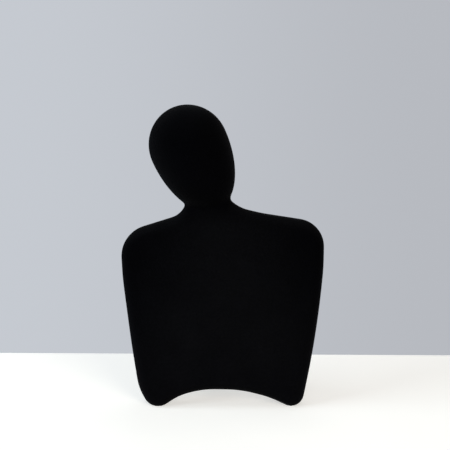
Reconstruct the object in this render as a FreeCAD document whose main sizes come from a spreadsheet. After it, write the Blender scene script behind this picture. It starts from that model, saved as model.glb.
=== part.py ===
import FreeCAD, Part
import math
import os
import Sketcher

# Necklace display stand: a stylised head-and-shoulders figure, moulded in one
# piece and flocked, that leans back on two feet and on a bent steel rear leg.
# Millimetres, +Z up, +X to the viewer's right, +Y away from the viewer.
# The origin lies on the table under the middle of the whole stand.

doc = FreeCAD.newDocument("NecklaceStand")

# ---------------------------------------------------------------- sizes
sheet = doc.addObject("Spreadsheet::Sheet", "Sizes")
cells = [
    # whole stand
    ("lean_angle", 10.0),          # body leans back from upright, degrees
    ("seat_depth", 1.0),           # how much the round feet are flattened
    ("shift_x", -0.03),            # body frame to stand frame
    ("shift_y", -43.47),
    # torso, seen from the front, in its own plane
    ("torso_front", 19.0),         # crown of the chest in front of mid-plane
    ("torso_back", 18.0),          # flat back behind mid-plane
    ("crown_radius", 900.0),       # the chest is part of a very large ball
    ("crown_height", 112.0),
    ("edge_radius", 11.5),
    # head, an egg: two half ellipsoids that share their widest section
    ("head_x", -34.0),
    ("head_z", 263.7),
    ("head_forward", 3.0),
    ("head_tilt", -24.2),
    ("head_half_width", 39.8),
    ("head_top", 41.3),
    ("head_chin", 71.0),
    # rear leg, bent from one strip
    ("leg_width", 34.0),
    ("leg_gauge", 2.5),
    ("leg_plate_top", 148.0),
    ("leg_plate_end", 106.0),
    ("leg_heel_y", 84.0),
    ("leg_toe", 13.0),
    ("leg_bend_inner", 4.0),
    ("leg_corner", 7.0),
    # two screws
    ("screw_upper", 139.0),
    ("screw_lower", 117.0),
    ("screw_shank", 4.0),
    ("screw_clearance", 4.6),
    ("screw_length", 16.0),
    ("screw_head_width", 8.0),
    ("screw_head_height", 2.8),
    ("screw_slot_width", 1.1),
    ("screw_slot_span", 4.6),
    ("screw_slot_deep", 1.5),
    ("pilot_extra", 1.5),
]

# corner points of the torso outline (x, z) and the radius that rounds each;
# radius 0 leaves the two corners that are buried in the head
outline = [
    ("foot_left", -70.7, -7.5, 15.5),
    ("foot_side_left", -85.2, 19.1, 56.0),
    ("side_left_low", -92.1, 64.4, 880.0),
    ("side_left_high", -100.6, 130.3, 240.0),
    ("shoulder_left", -103.3, 175.2, 31.0),
    ("neck_left", -39.7, 195.1, 20.6),
    ("stub_left", -36.0, 211.5, 0.0),
    ("stub_right", 3.4, 212.3, 0.0),
    ("neck_right", 17.6, 200.8, 38.2),
    ("collar_right", 39.5, 195.7, 147.0),
    ("shoulder_right", 102.4, 186.0, 27.6),
    ("side_right_high", 101.5, 140.6, 236.0),
    ("side_right_low", 94.6, 73.2, 1065.0),
    ("foot_right", 78.8, -6.0, 13.2),
    ("arch_right", 46.6, 9.6, 102.0),
    ("arch_top_right", 17.9, 17.4, 111.0),
    ("arch_top_left", -19.9, 18.1, 92.0),
    ("arch_left", -44.5, 11.0, 55.7),
]
for name, px, pz, radius in outline:
    cells.append((name + "_x", px))
    cells.append((name + "_z", pz))
    if radius:
        cells.append((name + "_round", radius))

size = {}
for row, (alias, value) in enumerate(cells, start=1):
    sheet.set("A%d" % row, alias)
    sheet.set("B%d" % row, str(value))
    sheet.setAlias("B%d" % row, alias)
    size[alias] = value
doc.recompute()


# -------------------------------------------------------------- helpers
def plane_of(body, role):
    for feature in body.Origin.OriginFeatures:
        if feature.Role == role:
            return feature
    raise RuntimeError("no plane " + role)


def sketch_on(body, role, name):
    sketch = body.newObject("Sketcher::SketchObject", name)
    sketch.AttachmentSupport = (plane_of(body, role), [""])
    sketch.MapMode = "FlatFace"
    return sketch


def closed_polygon(sketch, corners):
    """Closed run of lines; every corner is dimensioned from the origin by the
    pair of expressions that comes with it."""
    count = len(corners)
    for i in range(count):
        a, b = corners[i], corners[(i + 1) % count]
        sketch.addGeometry(
            Part.LineSegment(
                FreeCAD.Vector(a[1], a[2], 0), FreeCAD.Vector(b[1], b[2], 0)
            )
        )
    for i in range(count):
        sketch.addConstraint(
            Sketcher.Constraint("Coincident", i, 2, (i + 1) % count, 1)
        )
    for i, (name, px, py, ex, ey) in enumerate(corners):
        index = sketch.addConstraint(Sketcher.Constraint("DistanceX", i, 1, px))
        sketch.renameConstraint(index, name + "_x")
        sketch.setExpression("Constraints." + name + "_x", ex)
        index = sketch.addConstraint(Sketcher.Constraint("DistanceY", i, 1, py))
        sketch.renameConstraint(index, name + "_y")
        sketch.setExpression("Constraints." + name + "_y", ey)


def rounded_polygon(sketch, corners):
    """Closed run of lines whose corners are rounded by tangent arcs. Each corner
    point is kept as a construction point and dimensioned from the origin; a
    corner without a radius stays sharp."""
    count = len(corners)
    points = [FreeCAD.Vector(x, z, 0) for n, x, z, r in corners]
    trims = []
    for i in range(count):
        here = points[i]
        into = (here - points[i - 1]).normalize()
        out = (points[(i + 1) % count] - here).normalize()
        reach = corners[i][3] * math.tan(into.getAngle(out) / 2.0)
        trims.append((here - into * reach, here + out * reach, into, out))
    shapes = [
        Part.LineSegment(trims[i][1], trims[(i + 1) % count][0])
        for i in range(count)
    ]
    rules, named = [], []

    def dimension(kind, where, name, value):
        named.append((len(rules), name))
        rules.append(Sketcher.Constraint(kind, *where, value))

    for i, (name, x, z, radius) in enumerate(corners):
        before, after = (i - 1) % count, i
        enter, leave, into, out = trims[i]
        if radius:
            left = into.cross(out).z > 0
            inward = FreeCAD.Vector(-into.y, into.x, 0) * (1 if left else -1)
            centre = enter + inward * radius
            first, second = (enter, leave) if left else (leave, enter)
            a = math.atan2(first.y - centre.y, first.x - centre.x)
            b = math.atan2(second.y - centre.y, second.x - centre.x)
            while b < a:
                b += 2 * math.pi
            circle = Part.Circle(centre, FreeCAD.Vector(0, 0, 1), radius)
            arc = len(shapes)
            shapes.append(Part.ArcOfCircle(circle, a, b))
            near, far = (1, 2) if left else (2, 1)
            rules.append(Sketcher.Constraint("Tangent", before, 2, arc, near))
            rules.append(Sketcher.Constraint("Tangent", after, 1, arc, far))
            dimension("Radius", (arc,), name + "_round", radius)
            # the two lines' lengths along their own directions are fixed by
            # the sharp corner that they point at
            helper = len(shapes)
            shapes.append(Part.Point(points[i]))
            rules.append(Sketcher.Constraint("PointOnObject", helper, 1, before))
            rules.append(Sketcher.Constraint("PointOnObject", helper, 1, after))
            spot = (helper, 1)
        else:
            rules.append(Sketcher.Constraint("Coincident", before, 2, after, 1))
            spot = (after, 1)
        dimension("DistanceX", spot, name + "_x", x)
        dimension("DistanceY", spot, name + "_z", z)
    sketch.addGeometry(shapes, False)
    for k, shape in enumerate(shapes):
        if shape.TypeId == "Part::GeomPoint":
            sketch.setConstruction(k, True)
    sketch.addConstraint(rules)
    for index, name in named:
        sketch.renameConstraint(index, name)
    for index, name in named:
        sketch.setExpression("Constraints." + name, "Sizes." + name)


def edge_near(shape, x, y, z, direction):
    """Name of the straight edge along a direction that passes nearest a point."""
    point = Part.Vertex(x, y, z)
    best = None
    for i, edge in enumerate(shape.Edges, start=1):
        if edge.Curve.TypeId != "Part::GeomLine":
            continue
        if abs(abs(edge.Curve.Direction.dot(direction)) - 1.0) > 1e-6:
            continue
        gap = edge.distToShape(point)[0]
        if best is None or gap < best[0]:
            best = (gap, "Edge%d" % i)
    return best[1]


def symmetric(pad):
    """Pad to both sides of the sketch plane."""
    if hasattr(pad, "SideType"):
        pad.SideType = "Symmetric"
    else:
        pad.Midplane = True


lean = math.radians(size["lean_angle"])
along_y = FreeCAD.Vector(0, 1, 0)

# ---------------------------------------------------------------- torso
# The outline, its corners rounded, is padded through the whole thickness.
torso = doc.addObject("PartDesign::Body", "Torso")
torso_outline = sketch_on(torso, "XZ_Plane", "TorsoOutline")
rounded_polygon(torso_outline, outline)
torso_pad = torso.newObject("PartDesign::Pad", "TorsoPad")
torso_pad.Profile = torso_outline
symmetric(torso_pad)
torso_pad.Length = 2 * size["torso_front"]
torso_pad.setExpression("Length", "2 * Sizes.torso_front")
torso.Tip = torso_pad
doc.recompute()

# The chest is crowned: the pad keeps what lies inside a very large ball that
# touches the front plane, and the back is planed flat.
crown = doc.addObject("Part::Sphere", "ChestCrown")
crown.setExpression("Radius", "Sizes.crown_radius")
crown.setExpression("Placement.Base.y", "Sizes.crown_radius - Sizes.torso_front")
crown.setExpression("Placement.Base.z", "Sizes.crown_height")
crowned = doc.addObject("Part::Common", "CrownedTorso")
crowned.Base = torso
crowned.Tool = crown
back_plane = doc.addObject("Part::Box", "BackTrim")
back_plane.Length = 400
back_plane.Width = 40
back_plane.Height = 400
back_plane.Placement.Base = FreeCAD.Vector(-200, size["torso_back"], -60)
back_plane.setExpression("Placement.Base.y", "Sizes.torso_back")
trimmed = doc.addObject("Part::Cut", "TrimmedTorso")
trimmed.Base = crowned
trimmed.Tool = back_plane
doc.recompute()

# Front and back rims are rounded all the way round, except across the buried
# top of the neck.
rim = []
top_line = min(size["stub_left_z"], size["stub_right_z"])
for i, edge in enumerate(trimmed.Shape.Edges, start=1):
    middle = edge.valueAt((edge.FirstParameter + edge.LastParameter) / 2.0)
    ends = [v.Point for v in edge.Vertexes]
    across = edge.Curve.TypeId == "Part::GeomLine" and abs(
        abs(edge.Curve.Direction.y)
    ) > 0.999
    buried = len(ends) == 2 and min(p.z for p in ends) > top_line - 0.01
    if not across and not buried:
        rim.append((i, size["edge_radius"], size["edge_radius"]))
soft = doc.addObject("Part::Fillet", "SoftTorso")
soft.Base = trimmed
soft.Edges = rim
doc.recompute()

# ----------------------------------------------------------------- head
# An egg turned about its long axis: two quarter ellipses share the widest
# section. The whole egg is tilted about its centre.
tilt = FreeCAD.Rotation(FreeCAD.Vector(0, 1, 0), size["head_tilt"])
egg = doc.addObject("PartDesign::Body", "Head")
profile = sketch_on(egg, "XZ_Plane", "HeadProfile")
quarter_turns = []
for reach, low, high in (
    (size["head_chin"], math.pi, 1.5 * math.pi),
    (size["head_top"], 1.5 * math.pi, 2.0 * math.pi),
):
    ellipse = Part.Ellipse(
        FreeCAD.Vector(0, reach, 0),
        FreeCAD.Vector(-size["head_half_width"], 0, 0),
        FreeCAD.Vector(0, 0, 0),
    )
    quarter = profile.addGeometry(Part.ArcOfEllipse(ellipse, low, high))
    profile.exposeInternalGeometry(quarter)
    quarter_turns.append((quarter, quarter + 1))
(chin_arc, chin_axis), (top_arc, top_axis) = quarter_turns
spine = profile.addGeometry(
    Part.LineSegment(
        FreeCAD.Vector(0, size["head_top"], 0),
        FreeCAD.Vector(0, -size["head_chin"], 0),
    )
)
profile.addConstraint(
    [
        Sketcher.Constraint("Coincident", chin_arc, 3, -1, 1),
        Sketcher.Constraint("Coincident", top_arc, 3, -1, 1),
        Sketcher.Constraint("Coincident", chin_arc, 2, top_arc, 1),
        Sketcher.Constraint("Coincident", spine, 1, top_arc, 2),
        Sketcher.Constraint("Coincident", spine, 2, chin_arc, 1),
        Sketcher.Constraint("PointOnObject", top_arc, 2, -2),
        Sketcher.Constraint("PointOnObject", chin_arc, 1, -2),
        Sketcher.Constraint("PointOnObject", top_arc, 1, -1),
        Sketcher.Constraint("Vertical", chin_axis),
        Sketcher.Constraint("Vertical", top_axis),
    ]
)
for kind, spot, name, value, formula in (
    ("DistanceY", (top_arc, 2), "top", size["head_top"], "Sizes.head_top"),
    ("DistanceY", (chin_arc, 1), "chin", -size["head_chin"], "-Sizes.head_chin"),
    (
        "DistanceX",
        (top_arc, 1),
        "half_width",
        size["head_half_width"],
        "Sizes.head_half_width",
    ),
):
    index = profile.addConstraint(Sketcher.Constraint(kind, *spot, value))
    profile.renameConstraint(index, name)
    profile.setExpression("Constraints." + name, formula)
doc.recompute()
turned_egg = egg.newObject("PartDesign::Revolution", "HeadTurned")
turned_egg.Profile = profile
turned_egg.ReferenceAxis = (profile, ["V_Axis"])
turned_egg.Angle = 360
egg.Tip = turned_egg
doc.recompute()
egg.Placement = FreeCAD.Placement(
    FreeCAD.Vector(size["head_x"], -size["head_forward"], size["head_z"]), tilt
)
egg.setExpression("Placement.Base.x", "Sizes.head_x")
egg.setExpression("Placement.Base.y", "-Sizes.head_forward")
egg.setExpression("Placement.Base.z", "Sizes.head_z")
figure = doc.addObject("Part::Fuse", "Figure")
figure.Base = soft
figure.Tool = egg
doc.recompute()

# ----------------------------------------------- the figure, set leaning
whole_turn = FreeCAD.Rotation(FreeCAD.Vector(1, 0, 0), -size["lean_angle"])
stand_place = FreeCAD.Placement(
    FreeCAD.Vector(size["shift_x"], size["shift_y"], -size["seat_depth"]),
    whole_turn,
)


def place_on_stand(thing):
    """Body frame to stand frame."""
    thing.Placement = stand_place
    thing.setExpression("Placement.Base.x", "Sizes.shift_x")
    thing.setExpression("Placement.Base.y", "Sizes.shift_y")
    thing.setExpression("Placement.Base.z", "-Sizes.seat_depth")


place_on_stand(figure)

# The feet are flattened where they stand on the table.
table_cut = doc.addObject("Part::Box", "TableTrim")
table_cut.Length = 400
table_cut.Width = 400
table_cut.Height = 40
table_cut.Placement.Base = FreeCAD.Vector(-200, -200, -40)
seated = doc.addObject("Part::Cut", "SeatedFigure")
seated.Base = figure
seated.Tool = table_cut

# Two blind pilot holes in the back take the leg's screws.
pilots = []
for side in ("upper", "lower"):
    pilot = doc.addObject("Part::Cylinder", "Pilot_" + side)
    pilot.setExpression("Radius", "Sizes.screw_shank / 2")
    pilot.setExpression(
        "Height", "Sizes.screw_length - Sizes.leg_gauge + Sizes.pilot_extra + 5"
    )
    depth = size["screw_length"] - size["leg_gauge"] + size["pilot_extra"]
    local = FreeCAD.Placement(
        FreeCAD.Vector(0, size["torso_back"] - depth, size["screw_" + side]),
        FreeCAD.Rotation(FreeCAD.Vector(1, 0, 0), -90),
    )
    pilot.Placement = stand_place.multiply(local)
    pilots.append(pilot)
pilot_pair = doc.addObject("Part::MultiFuse", "PilotPair")
pilot_pair.Shapes = pilots
figure_body = doc.addObject("Part::Cut", "BustBody")
figure_body.Base = seated
figure_body.Tool = pilot_pair
figure_body.Label = "bust_body"
doc.recompute()

# ------------------------------------------------------------- rear leg
# One steel strip: a plate against the back, a strut down to the table and a
# short toe that lies flat on it. Drawn from the side in the stand's frame.
cos_l, sin_l = math.cos(lean), math.sin(lean)


def back_point(height, out):
    """Point `out` behind the flat back, `height` up the torso, as (y, z)."""
    reach = size["torso_back"] + out
    return (
        size["shift_y"] + reach * cos_l + height * sin_l,
        -size["seat_depth"] - reach * sin_l + height * cos_l,
    )


def back_expr(height, out):
    reach = "(Sizes.torso_back + %s)" % out
    return (
        "Sizes.shift_y + %s * cos(Sizes.lean_angle * 1 deg)"
        " + Sizes.%s * sin(Sizes.lean_angle * 1 deg)" % (reach, height),
        "-Sizes.seat_depth - %s * sin(Sizes.lean_angle * 1 deg)"
        " + Sizes.%s * cos(Sizes.lean_angle * 1 deg)" % (reach, height),
    )


gauge = size["leg_gauge"]
heel_y = size["shift_y"] + size["leg_heel_y"]
knee = back_point(size["leg_plate_end"], 0.0)
strut = math.atan2(heel_y - knee[0], knee[1])        # from upright
# half angles at the two bends carry the strip's thickness round the corner
knee_shift = gauge * math.tan((strut + lean) / 2.0)
heel_shift = gauge * math.tan((math.pi / 2.0 - strut) / 2.0)
strut_expr = (
    "atan2(Sizes.shift_y + Sizes.leg_heel_y - ({0}); {1})".format(
        *back_expr("leg_plate_end", "0")
    )
)
knee_expr = "Sizes.leg_gauge * tan(({0} + Sizes.lean_angle * 1 deg) / 2)".format(
    strut_expr
)
heel_expr = "Sizes.leg_gauge * tan((90 deg - {0}) / 2)".format(strut_expr)

top_in = back_point(size["leg_plate_top"], 0.0)
top_out = back_point(size["leg_plate_top"], gauge)
knee_out = back_point(size["leg_plate_end"] + knee_shift, gauge)
toe_end = heel_y + size["leg_toe"]


def offset_knee_expr():
    reach = "(Sizes.torso_back + Sizes.leg_gauge)"
    height = "(Sizes.leg_plate_end + {0})".format(knee_expr)
    return (
        "Sizes.shift_y + %s * cos(Sizes.lean_angle * 1 deg)"
        " + %s * sin(Sizes.lean_angle * 1 deg)" % (reach, height),
        "-Sizes.seat_depth - %s * sin(Sizes.lean_angle * 1 deg)"
        " + %s * cos(Sizes.lean_angle * 1 deg)" % (reach, height),
    )


corners = [
    ("top_in",) + top_in + back_expr("leg_plate_top", "0"),
    ("knee_in",) + knee + back_expr("leg_plate_end", "0"),
    ("heel_under", heel_y, 0.0, "Sizes.shift_y + Sizes.leg_heel_y", "0"),
    (
        "toe_under",
        toe_end,
        0.0,
        "Sizes.shift_y + Sizes.leg_heel_y + Sizes.leg_toe",
        "0",
    ),
    (
        "toe_over",
        toe_end,
        gauge,
        "Sizes.shift_y + Sizes.leg_heel_y + Sizes.leg_toe",
        "Sizes.leg_gauge",
    ),
    (
        "heel_over",
        heel_y + heel_shift,
        gauge,
        "Sizes.shift_y + Sizes.leg_heel_y + " + heel_expr,
        "Sizes.leg_gauge",
    ),
    ("knee_out",) + knee_out + offset_knee_expr(),
    ("top_out",) + top_out + back_expr("leg_plate_top", "Sizes.leg_gauge"),
]
leg = doc.addObject("PartDesign::Body", "RearLeg")
leg.Label = "rear_leg"
leg_profile = sketch_on(leg, "YZ_Plane", "LegProfile")
closed_polygon(leg_profile, corners)
leg_pad = leg.newObject("PartDesign::Pad", "LegPad")
leg_pad.Profile = leg_profile
symmetric(leg_pad)
leg_pad.Length = size["leg_width"]
leg_pad.setExpression("Length", "Sizes.leg_width")
leg.Tip = leg_pad
doc.recompute()
leg_last = leg_pad
along_x = FreeCAD.Vector(1, 0, 0)
for label, spot, radius, formula in (
    ("KneeIn", knee, "inner_plus", "Sizes.leg_bend_inner + Sizes.leg_gauge"),
    ("KneeOut", knee_out, "inner", "Sizes.leg_bend_inner"),
    (
        "HeelUnder",
        (heel_y, 0.0),
        "inner_plus",
        "Sizes.leg_bend_inner + Sizes.leg_gauge",
    ),
    ("HeelOver", (heel_y + heel_shift, gauge), "inner", "Sizes.leg_bend_inner"),
):
    bend = leg.newObject("PartDesign::Fillet", label)
    bend.Base = (leg_last, [edge_near(leg_last.Shape, 0, spot[0], spot[1], along_x)])
    bend.Radius = size["leg_bend_inner"] + (gauge if radius == "inner_plus" else 0)
    bend.setExpression("Radius", formula)
    leg.Tip = bend
    doc.recompute()
    leg_last = bend

# The four free corners of the strip are rounded.
half_width = size["leg_width"] / 2.0
up_back = FreeCAD.Vector(0, cos_l, -sin_l)
free_corners = []
for sign in (-1, 1):
    middle = back_point(size["leg_plate_top"], gauge / 2.0)
    free_corners.append(
        edge_near(leg_last.Shape, sign * half_width, middle[0], middle[1], up_back)
    )
    free_corners.append(
        edge_near(
            leg_last.Shape,
            sign * half_width,
            toe_end,
            gauge / 2.0,
            FreeCAD.Vector(0, 0, 1),
        )
    )
tips = leg.newObject("PartDesign::Fillet", "RoundTips")
tips.Base = (leg_last, free_corners)
tips.Radius = size["leg_corner"]
tips.setExpression("Radius", "Sizes.leg_corner")
leg.Tip = tips
doc.recompute()

# Clearance holes for the screws, drilled square to the plate.
drills = []
for side in ("upper", "lower"):
    drill = doc.addObject("Part::Cylinder", "LegDrill_" + side)
    drill.setExpression("Radius", "Sizes.screw_clearance / 2")
    drill.Height = 20
    local = FreeCAD.Placement(
        FreeCAD.Vector(0, size["torso_back"] - 8, size["screw_" + side]),
        FreeCAD.Rotation(FreeCAD.Vector(1, 0, 0), -90),
    )
    drill.Placement = stand_place.multiply(local)
    drills.append(drill)
drill_pair = doc.addObject("Part::MultiFuse", "LegDrills")
drill_pair.Shapes = drills
rear_leg = doc.addObject("Part::Cut", "DrilledLeg")
rear_leg.Base = leg
rear_leg.Tool = drill_pair
leg.Label = "leg_strip"
rear_leg.Label = "rear_leg"
doc.recompute()

# --------------------------------------------------------------- screws
# Round-headed self-tapping screws with a cross recess. Each is turned about
# its own Z axis: the head above the seat at z = 0, the shank below it.


def make_screw(label, side):
    body = doc.addObject("PartDesign::Body", "Screw_" + side)
    body.Label = label
    section = sketch_on(body, "XZ_Plane", "ScrewSection_" + side)
    half_shank = size["screw_shank"] / 2.0
    half_head = size["screw_head_width"] / 2.0
    head = size["screw_head_height"]
    long = size["screw_length"]
    corners = [
        ("tip", 0.0, -long, "0", "-Sizes.screw_length"),
        (
            "point",
            half_shank * 0.45,
            -long,
            "Sizes.screw_shank * 0.225",
            "-Sizes.screw_length",
        ),
        (
            "taper",
            half_shank,
            -long + half_shank,
            "Sizes.screw_shank / 2",
            "-Sizes.screw_length + Sizes.screw_shank / 2",
        ),
        ("seat_in", half_shank, 0.0, "Sizes.screw_shank / 2", "0"),
        ("seat_out", half_head, 0.0, "Sizes.screw_head_width / 2", "0"),
        (
            "rim",
            half_head,
            head * 0.35,
            "Sizes.screw_head_width / 2",
            "Sizes.screw_head_height * 0.35",
        ),
        (
            "shoulder",
            half_head * 0.62,
            head,
            "Sizes.screw_head_width * 0.31",
            "Sizes.screw_head_height",
        ),
        ("crown", 0.0, head, "0", "Sizes.screw_head_height"),
    ]
    closed_polygon(section, corners)
    turned = body.newObject("PartDesign::Revolution", "ScrewTurned_" + side)
    turned.Profile = section
    turned.ReferenceAxis = (section, ["V_Axis"])
    turned.Angle = 360
    body.Tip = turned
    doc.recompute()
    recess = sketch_on(body, "XY_Plane", "Recess_" + side)
    half_slot = size["screw_slot_width"] / 2.0
    span = size["screw_slot_span"] / 2.0
    cross = [
        (-span, -half_slot), (-half_slot, -half_slot), (-half_slot, -span),
        (half_slot, -span), (half_slot, -half_slot), (span, -half_slot),
        (span, half_slot), (half_slot, half_slot), (half_slot, span),
        (-half_slot, span), (-half_slot, half_slot), (-span, half_slot),
    ]

    def cross_expr(value):
        sign = "-" if value < 0 else ""
        name = "screw_slot_span" if abs(value) == span else "screw_slot_width"
        return "%sSizes.%s / 2" % (sign, name)

    closed_polygon(
        recess,
        [
            ("c%d" % k, a, b, cross_expr(a), cross_expr(b))
            for k, (a, b) in enumerate(cross)
        ],
    )
    recess.AttachmentOffset.Base = FreeCAD.Vector(0, 0, head)
    recess.setExpression("AttachmentOffset.Base.z", "Sizes.screw_head_height")
    doc.recompute()
    sunk = body.newObject("PartDesign::Pocket", "RecessCut_" + side)
    sunk.Profile = recess
    sunk.Length = size["screw_slot_deep"]
    sunk.setExpression("Length", "Sizes.screw_slot_deep")
    body.Tip = sunk
    doc.recompute()
    local = FreeCAD.Placement(
        FreeCAD.Vector(0, size["torso_back"] + gauge, size["screw_" + side]),
        FreeCAD.Rotation(FreeCAD.Vector(1, 0, 0), -90),
    )
    body.Placement = stand_place.multiply(local)
    return body


screw_upper = make_screw("leg_screw_upper", "upper")
screw_lower = make_screw("leg_screw_lower", "lower")
doc.recompute()

# --------------------------------------------------------------- output
pieces = [figure_body, rear_leg, screw_upper, screw_lower]
for thing in doc.Objects:
    bad = [word for word in thing.State if word in ("Invalid", "Error")]
    if bad:
        raise RuntimeError("%s is %s" % (thing.Name, bad))
for piece in pieces:
    if piece.Shape.isNull() or not piece.Shape.isValid():
        raise RuntimeError(piece.Label + " has no valid shape")
    if len(piece.Shape.Solids) != 1:
        raise RuntimeError(
            "%s has %d solids" % (piece.Label, len(piece.Shape.Solids))
        )

os.makedirs("parts", exist_ok=True)
box = FreeCAD.BoundBox()
for piece in pieces:
    piece.Shape.exportStep("parts/" + piece.Label + ".step")
    box.add(piece.Shape.BoundBox)
    print(piece.Label, round(piece.Shape.Volume / 1000.0, 2), "cm3")
print(
    "box x %.3f %.3f y %.3f %.3f z %.3f %.3f"
    % (box.XMin, box.XMax, box.YMin, box.YMax, box.ZMin, box.ZMax)
)
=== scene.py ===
import math

import bmesh
import bpy
from mathutils import Euler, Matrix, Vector


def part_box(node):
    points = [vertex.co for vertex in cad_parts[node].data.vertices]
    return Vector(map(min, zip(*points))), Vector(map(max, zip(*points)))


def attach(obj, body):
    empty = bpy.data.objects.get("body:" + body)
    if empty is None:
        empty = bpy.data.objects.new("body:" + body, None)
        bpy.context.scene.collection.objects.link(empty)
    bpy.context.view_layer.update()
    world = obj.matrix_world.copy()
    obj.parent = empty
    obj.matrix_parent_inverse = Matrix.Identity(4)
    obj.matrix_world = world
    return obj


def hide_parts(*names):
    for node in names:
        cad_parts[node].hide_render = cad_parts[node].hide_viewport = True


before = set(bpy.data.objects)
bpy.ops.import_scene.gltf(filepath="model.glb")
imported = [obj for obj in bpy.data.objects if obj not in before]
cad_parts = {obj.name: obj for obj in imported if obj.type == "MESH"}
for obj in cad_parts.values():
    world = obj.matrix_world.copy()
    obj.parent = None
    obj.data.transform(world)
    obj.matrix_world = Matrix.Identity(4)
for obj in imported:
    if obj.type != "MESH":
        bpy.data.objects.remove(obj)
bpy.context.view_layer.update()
scene = bpy.context.scene


# ------------------------------------------------------------ materials
def new_material(name):
    mat = bpy.data.materials.new(name)
    mat.use_nodes = True
    tree = mat.node_tree
    tree.nodes.clear()
    out = tree.nodes.new("ShaderNodeOutputMaterial")
    shader = tree.nodes.new("ShaderNodeBsdfPrincipled")
    tree.links.new(shader.outputs["BSDF"], out.inputs["Surface"])
    return mat, tree, shader


def noise(tree, vector, scale, detail=2.0, roughness=0.5):
    made = tree.nodes.new("ShaderNodeTexNoise")
    made.inputs["Scale"].default_value = scale
    made.inputs["Detail"].default_value = detail
    made.inputs["Roughness"].default_value = roughness
    tree.links.new(vector, made.inputs["Vector"])
    return made.outputs["Fac"]


def remap(tree, value, low, high, to_low, to_high):
    made = tree.nodes.new("ShaderNodeMapRange")
    made.inputs["From Min"].default_value = low
    made.inputs["From Max"].default_value = high
    made.inputs["To Min"].default_value = to_low
    made.inputs["To Max"].default_value = to_high
    tree.links.new(value, made.inputs["Value"])
    return made.outputs["Result"]


def multiply(tree, a, b):
    made = tree.nodes.new("ShaderNodeMath")
    made.operation = "MULTIPLY"
    for k, item in enumerate((a, b)):
        if isinstance(item, (int, float)):
            made.inputs[k].default_value = item
        else:
            tree.links.new(item, made.inputs[k])
    return made.outputs["Value"]


def blend_colour(tree, factor, dark, light):
    made = tree.nodes.new("ShaderNodeMix")
    made.data_type = "RGBA"
    made.inputs["A"].default_value = (*dark, 1.0)
    made.inputs["B"].default_value = (*light, 1.0)
    tree.links.new(factor, made.inputs["Factor"])
    return made.outputs["Result"]


def object_space(tree):
    return tree.nodes.new("ShaderNodeTexCoord").outputs["Object"]


# flock tones: the dark flock, a painted lit copy of it for the chest, and a painted lit copy
# for upward-facing rims
FLOCK_DARK_TONE = (0.00102, 0.00104, 0.00160)
FLOCK_PAINTED_LIT_TONE = (0.00275, 0.00282, 0.00345)
FLOCK_PAINTED_TOP_TONE = (0.00310, 0.00318, 0.00385)


def ease(tree, value, low, high, to_low, to_high):
    made = tree.nodes.new("ShaderNodeMapRange")
    made.interpolation_type = "SMOOTHSTEP"
    made.inputs["From Min"].default_value = low
    made.inputs["From Max"].default_value = high
    made.inputs["To Min"].default_value = to_low
    made.inputs["To Max"].default_value = to_high
    tree.links.new(value, made.inputs["Value"])
    return made.outputs["Result"]


def sum_of(tree, a, b):
    made = tree.nodes.new("ShaderNodeMath")
    made.operation = "ADD"
    for k, item in enumerate((a, b)):
        if isinstance(item, (int, float)):
            made.inputs[k].default_value = item
        else:
            tree.links.new(item, made.inputs[k])
    return made.outputs["Value"]


def painted_chest_light(tree, place):
    """One on the broad middle of the chest, falling to nothing towards the
    shoulders and on the head: painted light, the chest drawn lighter than the head as if it
    caught more light, and dimmed to half towards the bottom as painted shade."""
    split = tree.nodes.new("ShaderNodeSeparateXYZ")
    tree.links.new(place, split.inputs["Vector"])
    aside = tree.nodes.new("ShaderNodeMath")
    aside.operation = "ABSOLUTE"
    tree.links.new(sum_of(tree, split.outputs["X"], -0.002), aside.inputs[0])
    spread = sum_of(
        tree, aside.outputs["Value"], multiply(tree, split.outputs["Z"], 0.35)
    )
    across = ease(tree, spread, 0.060, 0.158, 1.0, 0.0)
    up = ease(tree, split.outputs["Z"], 0.180, 0.206, 1.0, 0.0)
    # painted shade: the chest is drawn darker towards its bottom, down to half
    low = ease(tree, split.outputs["Z"], -0.010, 0.085, 0.50, 1.0)
    return multiply(tree, multiply(tree, across, up), low)


def painted_top_highlight(tree, place):
    """Painted highlight: the rims that face upwards are drawn paler, as if lit from above,
    fully below the neck and fading to 0.3 on the head.
    """
    facing = tree.nodes.new("ShaderNodeSeparateXYZ")
    tree.links.new(
        tree.nodes.new("ShaderNodeTexCoord").outputs["Normal"], facing.inputs["Vector"]
    )
    height = tree.nodes.new("ShaderNodeSeparateXYZ")
    tree.links.new(place, height.inputs["Vector"])
    upward = ease(tree, facing.outputs["Z"], 0.20, 0.85, 0.0, 1.0)
    return multiply(tree, upward, ease(tree, height.outputs["Z"], 0.19, 0.23, 1.0, 0.3))


def painted_underside_shade(tree):
    """Painted shade: surfaces that face the table are drawn darker, down to a quarter."""
    facing = tree.nodes.new("ShaderNodeSeparateXYZ")
    tree.links.new(
        tree.nodes.new("ShaderNodeTexCoord").outputs["Normal"], facing.inputs["Vector"]
    )
    return ease(tree, facing.outputs["Z"], -0.70, -0.10, 0.25, 1.0)


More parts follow.
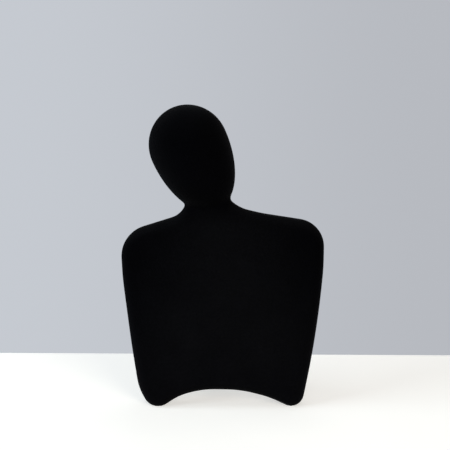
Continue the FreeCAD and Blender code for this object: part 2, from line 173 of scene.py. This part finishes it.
def flock_material():
    """Short dense black fibres: almost no light comes back from straight on,
    and a soft pale rim shows where the pile is seen from the side."""
    mat, tree, shader = new_material("black_flock")
    place = object_space(tree)
    pile = noise(tree, place, 1700.0, 3.0, 0.65)
    clumps = noise(tree, place, 420.0, 2.0, 0.55)
    brushed = noise(tree, place, 38.0, 3.0, 0.5)
    grain_and_painted_shade = multiply(
        tree,
        remap(tree, pile, 0.25, 0.75, 0.75, 1.25),
        remap(tree, clumps, 0.3, 0.7, 0.85, 1.15),
    )
    drift = remap(tree, brushed, 0.3, 0.7, 0.9, 1.1)
    # painted light: the lit chest tone and the painted top highlight go into the flock's
    # colour here
    flock_tone_and_painted_light = tree.nodes.new("ShaderNodeMix")
    flock_tone_and_painted_light.data_type = "RGBA"
    flock_tone_and_painted_light.inputs["B"].default_value = (*FLOCK_PAINTED_TOP_TONE, 1.0)
    tree.links.new(painted_top_highlight(tree, place), flock_tone_and_painted_light.inputs["Factor"])
    tree.links.new(
        blend_colour(tree, painted_chest_light(tree, place), FLOCK_DARK_TONE, FLOCK_PAINTED_LIT_TONE),
        flock_tone_and_painted_light.inputs["A"],
    )
    flock_tone_and_painted_light = flock_tone_and_painted_light.outputs["Result"]
    # painted shade: surfaces facing the table are drawn darker on top of the random grain
    grain_and_painted_shade = multiply(tree, multiply(tree, grain_and_painted_shade, drift), painted_underside_shade(tree))
    shade = tree.nodes.new("ShaderNodeMix")
    shade.data_type = "RGBA"
    shade.blend_type = "MULTIPLY"
    shade.inputs["Factor"].default_value = 1.0
    tree.links.new(flock_tone_and_painted_light, shade.inputs["A"])
    tree.links.new(grain_and_painted_shade, shade.inputs["B"])
    tree.links.new(shade.outputs["Result"], shader.inputs["Base Color"])
    shader.inputs["Roughness"].default_value = 1.0
    shader.inputs["Specular IOR Level"].default_value = 0.004
    shader.inputs["Sheen Weight"].default_value = 0.030
    shader.inputs["Sheen Roughness"].default_value = 0.45
    shader.inputs["Sheen Tint"].default_value = (0.90, 0.92, 1.0, 1.0)
    height = tree.nodes.new("ShaderNodeMath")
    height.operation = "ADD"
    tree.links.new(pile, height.inputs[0])
    tree.links.new(multiply(tree, clumps, 0.8), height.inputs[1])
    bump = tree.nodes.new("ShaderNodeBump")
    bump.inputs["Strength"].default_value = 0.55
    bump.inputs["Distance"].default_value = 0.00035
    tree.links.new(height.outputs["Value"], bump.inputs["Height"])
    tree.links.new(bump.outputs["Normal"], shader.inputs["Normal"])
    return mat


def coat_material():
    """Satin black powder coat: a fine orange-peel surface over steel strip."""
    mat, tree, shader = new_material("black_powder_coat")
    place = object_space(tree)
    peel = noise(tree, place, 900.0, 2.0, 0.5)
    cloud = noise(tree, place, 60.0, 3.0, 0.5)
    colour = blend_colour(
        tree,
        remap(tree, cloud, 0.3, 0.7, 0.0, 1.0),
        (0.016, 0.016, 0.018),
        (0.024, 0.024, 0.026),
    )
    tree.links.new(colour, shader.inputs["Base Color"])
    tree.links.new(
        remap(tree, peel, 0.3, 0.7, 0.42, 0.58), shader.inputs["Roughness"]
    )
    bump = tree.nodes.new("ShaderNodeBump")
    bump.inputs["Strength"].default_value = 0.35
    bump.inputs["Distance"].default_value = 0.00012
    tree.links.new(peel, bump.inputs["Height"])
    tree.links.new(bump.outputs["Normal"], shader.inputs["Normal"])
    return mat


def zinc_material():
    """Zinc-plated steel with faint turning marks and uneven plating."""
    mat, tree, shader = new_material("zinc_plate")
    place = object_space(tree)
    bloom = noise(tree, place, 700.0, 3.0, 0.6)
    marks = noise(tree, place, 2600.0, 1.0, 0.4)
    colour = blend_colour(
        tree,
        remap(tree, bloom, 0.3, 0.7, 0.0, 1.0),
        (0.42, 0.43, 0.45),
        (0.60, 0.60, 0.60),
    )
    tree.links.new(colour, shader.inputs["Base Color"])
    shader.inputs["Metallic"].default_value = 1.0
    tree.links.new(
        remap(tree, bloom, 0.3, 0.7, 0.26, 0.42), shader.inputs["Roughness"]
    )
    bump = tree.nodes.new("ShaderNodeBump")
    bump.inputs["Strength"].default_value = 0.2
    bump.inputs["Distance"].default_value = 0.00005
    tree.links.new(marks, bump.inputs["Height"])
    tree.links.new(bump.outputs["Normal"], shader.inputs["Normal"])
    return mat


flock = flock_material()
coat = coat_material()
zinc = zinc_material()


def dress(obj, mat):
    obj.data.materials.clear()
    obj.data.materials.append(mat)


# --------------------------------------------------------- flocked body
def soften_crease(work):
    """Relax the skin where the chin runs into the collar, front and back, and
    leave the two sides of the neck, which give its outline, as they are."""
    near = []
    for v in work.verts:
        height = max(0.0, 1.0 - ((v.co.z - 0.199) / 0.020) ** 2)
        side = min(1.0, max(0.0, (0.025 - abs(v.co.x + 0.013)) / 0.012))
        if height * side > 0.0:
            near.append((v, 0.6 * height * side))
    for _ in range(70):
        moved = []
        for v, weight in near:
            ring = [e.other_vert(v).co for e in v.link_edges]
            middle = sum(ring, Vector()) / len(ring)
            moved.append(v.co.lerp(middle, weight))
        for (v, _w), place in zip(near, moved):
            v.co = place


def flocked_body():
    """One unbroken skin over the whole moulding, soft at the crease of the
    neck and along the rims, as a coat of short fibres leaves it."""
    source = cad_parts["bust_body"]
    copy = source.copy()
    copy.data = source.data.copy()
    copy.parent = None
    copy.name = "remesh_source"
    scene.collection.objects.link(copy)
    weld = copy.modifiers.new("weld", "WELD")
    weld.merge_threshold = 0.00002
    shell = copy.modifiers.new("shell", "REMESH")
    shell.mode = "VOXEL"
    shell.voxel_size = 0.0015
    shell.use_smooth_shade = True
    relax = copy.modifiers.new("relax", "SMOOTH")
    relax.factor = 0.5
    relax.iterations = 7
    bpy.context.view_layer.update()
    depsgraph = bpy.context.evaluated_depsgraph_get()
    mesh = bpy.data.meshes.new_from_object(copy.evaluated_get(depsgraph))
    bpy.data.objects.remove(copy)
    low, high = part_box("bust_body")
    work = bmesh.new()
    work.from_mesh(mesh)
    for v in work.verts:
        for k in range(3):
            v.co[k] = min(max(v.co[k], low[k]), high[k])
        if v.co.z < 0.00045:
            v.co.z = 0.0
    soften_crease(work)
    for face in work.faces:
        face.smooth = True
    work.to_mesh(mesh)
    work.free()
    mesh.name = "bust_flock"
    body = bpy.data.objects.new("bust_flock", mesh)
    scene.collection.objects.link(body)
    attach(body, "root")
    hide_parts("bust_body")
    dress(body, flock)
    return body


body = flocked_body()
dress(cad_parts["rear_leg"], coat)
dress(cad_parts["leg_screw_upper"], zinc)
dress(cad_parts["leg_screw_lower"], zinc)


# ---------------------------------------------------------------- stage
def table():
    """A white table top that ends in a straight edge behind the stand."""
    mat, tree, shader = new_material("white_table")
    place = object_space(tree)
    cloud = noise(tree, place, 9.0, 2.0, 0.5)
    colour = blend_colour(
        tree,
        remap(tree, cloud, 0.3, 0.7, 0.0, 1.0),
        (0.75, 0.745, 0.725),
        (0.78, 0.775, 0.755),
    )
    tree.links.new(colour, shader.inputs["Base Color"])
    shader.inputs["Roughness"].default_value = 0.6
    shader.inputs["Specular IOR Level"].default_value = 0.2
    # painted glow: the top emits light of its own, which lightens the shadows on it and
    # lights the stand from below
    shader.inputs["Emission Color"].default_value = (1.0, 0.99, 0.965, 1.0)
    shader.inputs["Emission Strength"].default_value = 0.55
    work = bmesh.new()
    bmesh.ops.create_cube(work, size=1.0)
    thickness = 0.03
    for v in work.verts:
        v.co.x *= 0.9
        v.co.y = (v.co.y - 0.5) * 0.7
        v.co.z = (v.co.z - 0.5) * thickness
    bmesh.ops.bevel(
        work,
        geom=list(work.edges),
        offset=0.0006,
        segments=2,
        affect="EDGES",
        profile=0.5,
    )
    mesh = bpy.data.meshes.new("table_top")
    work.to_mesh(mesh)
    work.free()
    slab = bpy.data.objects.new("table_top", mesh)
    scene.collection.objects.link(slab)
    slab.rotation_euler = (0.0, 0.0, math.radians(-0.97))
    slab.location = (0.0, 0.1157, -0.00005)
    dress(slab, mat)
    return slab


table()


def area_light(name, place, aim, width, height, power, colour):
    data = bpy.data.lights.new(name, "AREA")
    data.shape = "RECTANGLE"
    data.size = width
    data.size_y = height
    data.energy = power
    data.color = colour
    lamp = bpy.data.objects.new(name, data)
    lamp.location = place
    direction = Vector(aim) - Vector(place)
    lamp.rotation_euler = direction.to_track_quat("-Z", "Y").to_euler()
    scene.collection.objects.link(lamp)
    return lamp


area_light("soft_front", (-0.1, -1.1, 1.9), (0, 0, 0.1), 1.5, 1.2, 2.5, (1.0, 1.0, 1.0))
area_light("soft_left", (-1.36, -0.14, 1.22), (0, 0, 0.1), 0.7, 0.7, 8.5, (0.78, 0.92, 1.0))
area_light("soft_side", (-1.45, -0.83, 0.70), (0, 0, 0.1), 0.5, 0.5, 10.0, (0.80, 0.92, 1.0))
area_light("soft_right", (0.70, -1.49, 0.75), (0, 0, 0.1), 0.7, 0.6, 13.0, (1.0, 0.90, 0.76))
area_light("soft_back", (0.3, 0.9, 1.9), (0, 0.05, 0.1), 1.4, 1.0, 5.0, (1.0, 1.0, 1.0))

world = bpy.data.worlds.new("studio")
scene.world = world
world.use_nodes = True
wt = world.node_tree
wt.nodes.clear()
world_out = wt.nodes.new("ShaderNodeOutputWorld")
wall = wt.nodes.new("ShaderNodeBackground")
wall.name = "wall"
# the wall is a little lighter towards the left
toward = wt.nodes.new("ShaderNodeTexCoord")
split = wt.nodes.new("ShaderNodeSeparateXYZ")
wt.links.new(toward.outputs["Generated"], split.inputs["Vector"])
across = wt.nodes.new("ShaderNodeMapRange")
across.interpolation_type = "SMOOTHSTEP"
across.inputs["From Min"].default_value = -0.16
across.inputs["From Max"].default_value = 0.16
wt.links.new(split.outputs["X"], across.inputs["Value"])
wall_tone = blend_colour(
    wt, across.outputs["Result"], (0.562, 0.590, 0.637), (0.473, 0.490, 0.527)
)
wt.links.new(wall_tone, wall.inputs["Color"])
wall.inputs["Strength"].default_value = 1.0
room = wt.nodes.new("ShaderNodeBackground")
room.name = "room"
room.inputs["Color"].default_value = (0.52, 0.54, 0.57, 1.0)
room.inputs["Strength"].default_value = 0.2
seen = wt.nodes.new("ShaderNodeLightPath")
choose = wt.nodes.new("ShaderNodeMixShader")
wt.links.new(seen.outputs["Is Camera Ray"], choose.inputs[0])
wt.links.new(room.outputs["Background"], choose.inputs[1])
wt.links.new(wall.outputs["Background"], choose.inputs[2])
wt.links.new(choose.outputs["Shader"], world_out.inputs["Surface"])

# --------------------------------------------------------------- camera
lens = bpy.data.cameras.new("view")
lens.sensor_width = 36.0
lens.lens = 119.4
lens.clip_start = 0.05
lens.clip_end = 20.0
camera = bpy.data.objects.new("view", lens)
elevation = math.radians(14.0)
aim = Vector((0.00228, -0.01153, 0.18011))
reach = 1.5
camera.location = aim + Vector(
    (0.0, -reach * math.cos(elevation), reach * math.sin(elevation))
)
camera.rotation_euler = Euler((math.radians(90.0) - elevation, 0.0, 0.0))
scene.collection.objects.link(camera)
scene.camera = camera

scene.view_settings.view_transform = "Standard"
scene.view_settings.look = "None"
scene.view_settings.exposure = 0.0
scene.view_settings.gamma = 1.0
